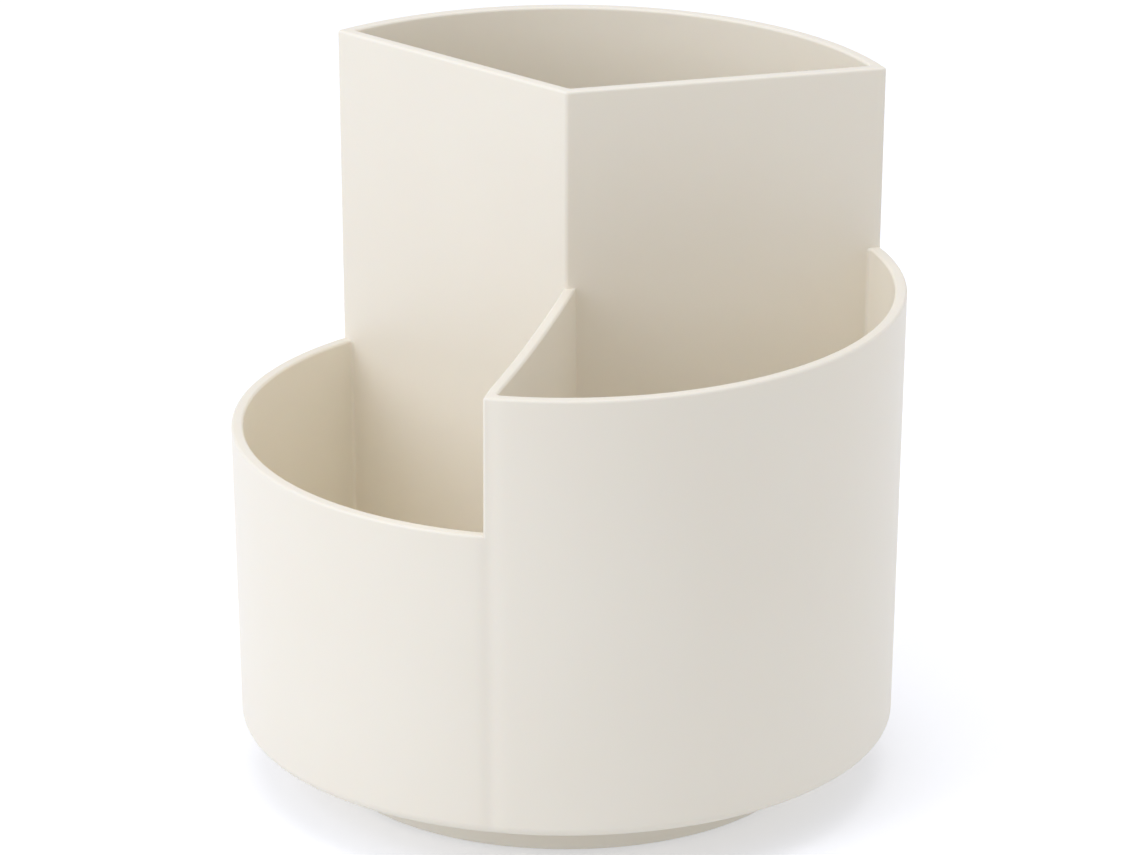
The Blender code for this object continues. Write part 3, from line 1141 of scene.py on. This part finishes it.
@dataclass(frozen=True)
class BallBearing:
    """The balls that carry the holder, and the cage that spaces them."""

    ball_radius: float = 0.0025
    count: int = 12
    race_radius: float = 0.0300
    groove_radius: float = 0.0027
    middle: float = 0.0105
    cage_space: float = 0.0020
    cage_thickness: float = 0.0014
    cage_width: float = 0.0088
    cage_edge: float = 0.0003
    groove_steps: int = 12
    cage_sides: int = 96
    hole_sides: int = 28
    ball_cuts: int = 7

    def groove(self, side: int) -> list[Place]:
        """Profile of the ball groove above (side 1) or below (side -1) the cage.

        Args:
            side: Which of the two grooves.

        Returns:
            Its points, from the axis outwards.
        """
        edge = math.degrees(math.asin(self.cage_space / 2 / self.groove_radius))
        start, end = (180 - edge, edge) if side > 0 else (180 + edge, 360 - edge)
        return arc((self.race_radius, self.middle), self.groove_radius, start, end, self.groove_steps)

    def build_cage(self, finish: Material) -> None:
        """Make the flat ring with a hole for each ball.

        Args:
            finish: Its material.
        """
        inner = self.race_radius - self.cage_width / 2
        outer = self.race_radius + self.cage_width / 2
        top = self.middle + self.cage_thickness / 2
        bottom = self.middle - self.cage_thickness / 2
        edge = self.cage_edge
        profile = [
            *rounded((outer, top), edge, 90),
            *rounded((outer, bottom), edge, 0),
            *rounded((inner, bottom), edge, 270),
            *rounded((inner, top), edge, 180),
        ]
        cage = lathe("spacer_ring", profile, self.cage_sides, is_ring=True)
        places = ring_of_places(self.count, self.race_radius, bottom - OVERRUN)
        depth = self.cage_thickness + 2 * OVERRUN
        holes = plugs("ball_holes", places, self.groove_radius, depth, self.hole_sides)
        combine(cage, holes, Boolean.CUT)
        smooth(cage)
        hand_over(cage, "ball_cage", Body.CAGE, finish)

    def build_balls(self, finish: Material) -> None:
        """Make the balls, each a cube that is subdivided and drawn out to a sphere.

        Args:
            finish: Their material.
        """
        first = add("steel_ball_01", bpy.ops.mesh.primitive_cube_add, size=2 * self.ball_radius)
        with editing(first):
            bpy.ops.mesh.subdivide(number_cuts=self.ball_cuts)
        for vert in first.data.vertices:
            vert.co = vert.co.normalized() * self.ball_radius
        smooth(first)
        for i, place in enumerate(ring_of_places(self.count, self.race_radius, self.middle)):
            ball = first.copy()
            ball.data = first.data.copy()
            ball.name = f"steel_ball_{i + 1:02d}"
            ball.data.name = ball.name
            ball.data.transform(Matrix.Translation(place))
            bpy.context.scene.collection.objects.link(ball)
            hand_over(ball, f"bearing_ball_{i + 1:02d}", Body.CAGE, finish)
        bpy.data.objects.remove(first, do_unlink=True)


@dataclass(frozen=True)
class Pads:
    """The soft pads that the base stands on, and their pockets."""

    count: int = 4
    radius: float = 0.0060
    thickness: float = 0.0016
    ring_radius: float = 0.0340
    edge: float = 0.0004
    seat_gap: float = 0.0003
    edge_steps: int = 5
    sides: int = 64

    def pockets(self, base: float) -> Object:
        """Make the tool that cuts the pads' pockets.

        Args:
            base: The height of the base's underside.

        Returns:
            The tool.
        """
        places = ring_of_places(self.count, self.ring_radius, base - OVERRUN)
        depth = self.thickness + self.seat_gap - base + OVERRUN
        return plugs("pad_pockets", places, self.radius + self.seat_gap, depth, self.sides)

    def build(self, finish: Material) -> None:
        """Make the pads.

        Args:
            finish: Their material.
        """
        dome = self.edge / 2
        profile = [
            (0.0, self.thickness),
            *rounded((self.radius, self.thickness), dome, 90),
            *rounded((self.radius, 0.0), self.edge, 0, self.edge_steps),
            (0.0, 0.0),
        ]
        for i, place in enumerate(ring_of_places(self.count, self.ring_radius, 0.0)):
            pad = lathe(f"soft_pad_{i + 1}", profile, self.sides)
            pad.data.transform(Matrix.Translation(place))
            smooth(pad)
            hand_over(pad, f"anti_slip_pad_{i + 1}", Body.BASE, finish)


@dataclass(frozen=True)
class SwivelBase:
    """The disc that stands still under the holder."""

    radius: float = 0.0446
    bottom: float = 0.0008
    top: float = 0.0095
    edge_round: float = 0.0009
    bore: float = 0.0043
    counterbore: float = 0.0063
    shoulder: float = 0.0049
    small_round: float = 0.0003
    sides: int = 144

    def build(self, finish: Material) -> None:
        """Make the base.

        Args:
            finish: Its material.
        """
        edge, small = self.edge_round, self.small_round
        profile = [
            *rounded((self.bore, self.top), small, 180),
            *BallBearing().groove(-1),
            *rounded((self.radius, self.top), edge, 90, LARGE_STEPS),
            *rounded((self.radius, self.bottom), edge, 0, LARGE_STEPS),
            *rounded((self.counterbore, self.bottom), small, 270),
            (self.counterbore, self.shoulder),
            (self.bore, self.shoulder),
        ]
        base = lathe("moulded_base", profile, self.sides, is_ring=True)
        combine(base, Pads().pockets(self.bottom), Boolean.CUT)
        smooth(base)
        hand_over(base, "swivel_base", Body.BASE, finish)


@dataclass(frozen=True)
class Pivot:
    """The screw and washer that hold the holder on its base."""

    washer_radius: float = 0.0060
    washer_hole: float = 0.00195
    washer_top: float = 0.0043
    washer_bottom: float = 0.0033
    washer_edge: float = 0.0002
    screw_radius: float = 0.00175
    core_share: float = 0.74
    thread_pitch: float = 0.0012
    screw_tip: float = 0.0110
    screw_point: float = 0.0012
    head_top: float = 0.0030
    head_bottom: float = 0.0015
    head_radius: float = 0.0038
    recess_depth: float = 0.0009
    recess_length: float = 0.0038
    recess_width: float = 0.0009
    recess_taper: float = 0.72
    sides: int = 48

    def build_washer(self, finish: Material) -> None:
        """Make the washer.

        Args:
            finish: Its material.
        """
        edge, outer, hole = self.washer_edge, self.washer_radius, self.washer_hole
        profile = [
            *rounded((outer, self.washer_top), edge, 90),
            *rounded((outer, self.washer_bottom), edge, 0),
            (hole, self.washer_bottom),
            (hole, self.washer_top),
        ]
        washer = lathe("steel_washer", profile, self.sides, is_ring=True)
        smooth(washer)
        hand_over(washer, "pivot_washer", Body.HOLDER, finish)

    def thread(self) -> list[Place]:
        """Profile of the screw's ridges, from below its point down to its head.

        Returns:
            Its points, each as a radius and a height.
        """
        core = self.screw_radius * self.core_share
        height = self.screw_tip - self.screw_point
        points: list[Place] = []
        while height - self.thread_pitch > self.head_top + self.thread_pitch:
            points += [(core, height), (self.screw_radius, height - self.thread_pitch / 2)]
            height -= self.thread_pitch
        return [*points, (core, height)]

    def build_screw(self, finish: Material) -> None:
        """Make the pan-head screw with its cross recess.

        Args:
            finish: Its material.
        """
        dome = (self.head_top - self.head_bottom) / 2
        profile = [
            (0.0, self.screw_tip),
            (self.screw_radius * self.core_share / 2, self.screw_tip),
            *self.thread(),
            (self.screw_radius, self.head_top + self.thread_pitch / 2),
            (self.screw_radius, self.head_top),
            (self.head_radius, self.head_top),
            *arc((self.head_radius - dome, self.head_top - dome), dome, 0, -90, LARGE_STEPS),
            (0.0, self.head_bottom),
        ]
        screw = lathe("pan_head_screw", profile, self.sides)
        for size in ((self.recess_length, self.recess_width), (self.recess_width, self.recess_length)):
            combine(screw, self.slot_tool(size), Boolean.CUT)
        smooth(screw)
        hand_over(screw, "pivot_screw", Body.HOLDER, finish)

    def slot_tool(self, size: tuple[float, float]) -> Object:
        """Make one arm of the cross recess, narrower at its bottom.

        Args:
            size: The arm's length and width at the head's face.

        Returns:
            The tool.
        """
        low, high = self.head_bottom - OVERRUN, self.head_bottom + self.recess_depth
        tool = add(
            "slot_tool",
            bpy.ops.mesh.primitive_cube_add,
            size=1.0,
            location=(0.0, 0.0, (low + high) / 2),
            scale=(*size, high - low),
        )
        taper = (self.recess_taper, self.recess_taper, 1.0)
        with editing(tool):
            select_where(tool, Element.FACE, lambda face: face.normal.z > UPWARDS)
            bpy.ops.transform.resize(value=taper, center_override=(0.0, 0.0, high))
        return tool


# Studio

@dataclass(frozen=True)
class PhotoCamera:
    """The camera at the photograph's place."""

    lens: float = 205.4
    sensor: float = 36.0
    distance: float = 1.1936
    elevation: float = math.radians(20.34)
    aim: Vector = Vector((0.00064, 0.0, 0.0658))
    near: float = 0.05
    far: float = 20.0

    def build(self) -> None:
        """Add the camera and make it the scene's."""
        data = bpy.data.cameras.new("photo_camera")
        data.lens = self.lens
        data.sensor_width = self.sensor
        data.clip_start = self.near
        data.clip_end = self.far
        camera = bpy.data.objects.new("photo_camera", data)
        bpy.context.scene.collection.objects.link(camera)
        back = Vector((0.0, -math.cos(self.elevation), math.sin(self.elevation)))
        camera.location = self.aim + back * self.distance
        camera.rotation_euler = back.to_track_quat("Z", "Y").to_euler()
        bpy.context.scene.camera = camera


@dataclass(frozen=True)
class Lamp:
    """A square soft lamp that faces the object.

    Attributes:
        name: Its name.
        azimuth: Where it stands, in degrees.
        elevation: How high it stands, in degrees.
        size: Its width.
        power: Its power in watts.
        colour: Its colour.
        distance: How far it stands from the object's middle.
        aim: The height of that middle.
    """

    name: str
    azimuth: float
    elevation: float
    size: float
    power: float
    colour: Colour
    distance: float = 1.2
    aim: float = 0.06

    def build(self) -> None:
        """Add the lamp."""
        data = bpy.data.lights.new(self.name, "AREA")
        data.size = self.size
        data.energy = self.power
        data.color = self.colour
        lamp = bpy.data.objects.new(self.name, data)
        bpy.context.scene.collection.objects.link(lamp)
        azimuth, elevation = math.radians(self.azimuth), math.radians(self.elevation)
        level = math.cos(elevation)
        away = Vector((math.sin(azimuth) * level, -math.cos(azimuth) * level, math.sin(elevation)))
        lamp.location = Vector((0.0, 0.0, self.aim)) + away * self.distance
        lamp.rotation_euler = away.to_track_quat("Z", "Y").to_euler()


@dataclass(frozen=True)
class Studio:
    """A white floor under soft, even light that comes mostly from the left."""

    sky: float = 0.585
    sky_colour: Colour = (1.0, 1.012, 1.085)
    floor_size: float = 12.0
    floor_colour: float = 0.55
    floor_glow: float = 0.23
    seen_colour: float = 0.92
    seen_glow: float = 0.30
    floor_tint: Colour = (0.97, 1.0, 1.07)
    lamps: tuple[Lamp, ...] = (
        Lamp("left_softbox", azimuth=-64.0, elevation=30.0, size=0.9, power=4.7, colour=(1.0, 1.05, 1.19)),
        Lamp("top_softbox", azimuth=0.0, elevation=86.0, size=1.0, power=3.8, colour=(1.0, 0.98, 0.98)),
        Lamp("right_softbox", azimuth=100.0, elevation=20.0, size=0.8, power=1.1, colour=(1.0, 1.045, 1.16)),
    )

    def build_sky(self) -> None:
        """Light the scene evenly from all round, on a white background."""
        world = bpy.data.worlds.new("studio")
        graph = Graph(world, "ShaderNodeOutputWorld")
        path = graph.node("ShaderNodeLightPath")
        sky = {"Color": (*self.sky_colour, 1.0), "Strength": self.sky}
        white = {"Color": (1.0, 1.0, 1.0, 1.0), "Strength": 1.0}
        light, backdrop = (graph.node("ShaderNodeBackground", inputs=inputs) for inputs in (sky, white))
        graph.show(graph.blend_shaders(path.outputs["Is Camera Ray"], light, backdrop))
        bpy.context.scene.world = world

    def build_floor(self) -> None:
        """Lay the floor, which is white to the camera and keeps the object's shadow."""
        floor = add("floor", bpy.ops.mesh.primitive_plane_add, size=self.floor_size)
        finish = Finish("white_floor")
        rays = finish.node("ShaderNodeLightPath").outputs
        camera = Signal(finish, rays["Is Camera Ray"])
        seen = camera.maths("MAXIMUM", camera, rays["Is Glossy Ray"])
        tint = (*self.floor_tint, 1.0)
        looks = []
        for shade, strength in ((self.floor_colour, self.floor_glow), (self.seen_colour, self.seen_glow)):
            plain = finish.node("ShaderNodeBsdfDiffuse", inputs={"Color": (shade, shade, shade, 1.0)})
            glow = finish.node("ShaderNodeEmission", inputs={"Color": tint, "Strength": strength})
            looks.append(finish.node("ShaderNodeAddShader", inputs={0: plain.outputs[0], 1: glow.outputs[0]}))
        finish.show(finish.blend_shaders(seen, *looks))
        floor.data.materials.append(finish.material)

    def build(self) -> None:
        """Set the stage, and show colours as they are written."""
        bpy.context.scene.view_settings.view_transform = "Standard"
        self.build_sky()
        self.build_floor()
        for lamp in self.lamps:
            lamp.build()


def main() -> None:
    """Build every piece round the frame, then the studio."""
    logging.basicConfig(level=logging.INFO, format="%(name)s: %(message)s")
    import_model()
    PhotoCamera().build()

    holder = Holder()
    creams = ((0.935, 0.876, 0.75), (0.925, 0.863, 0.735))
    whites = ((0.88, 0.88, 0.86), (0.84, 0.84, 0.82))
    cream = MouldedPlastic("cream_plastic", *creams, roughness=0.40, grain=0.0000016)
    base_cream = MouldedPlastic("cream_plastic_base", *creams, roughness=0.44, grain=0.000002)
    nylon = MouldedPlastic("white_nylon", *whites, roughness=0.5, grain=0.000002)
    ball_steel = PlainSteel("ball_steel", (0.62, 0.62, 0.63), roughness=0.14, stain=0.05)
    zinc = PlainSteel("zinc_steel", (0.66, 0.67, 0.68), roughness=0.34, stain=0.16)
    rubber = SoftRubber("pad_rubber", (0.78, 0.77, 0.74))

    holder.build(cream.build(holder.sink_line()))
    SwivelBase().build(base_cream.build())
    bearing = BallBearing()
    bearing.build_cage(nylon.build())
    bearing.build_balls(ball_steel.build())
    pivot = Pivot()
    steel = zinc.build()
    pivot.build_washer(steel)
    pivot.build_screw(steel)
    Pads().build(rubber.build())
    Studio().build()


if __name__ == "__main__":
    main()
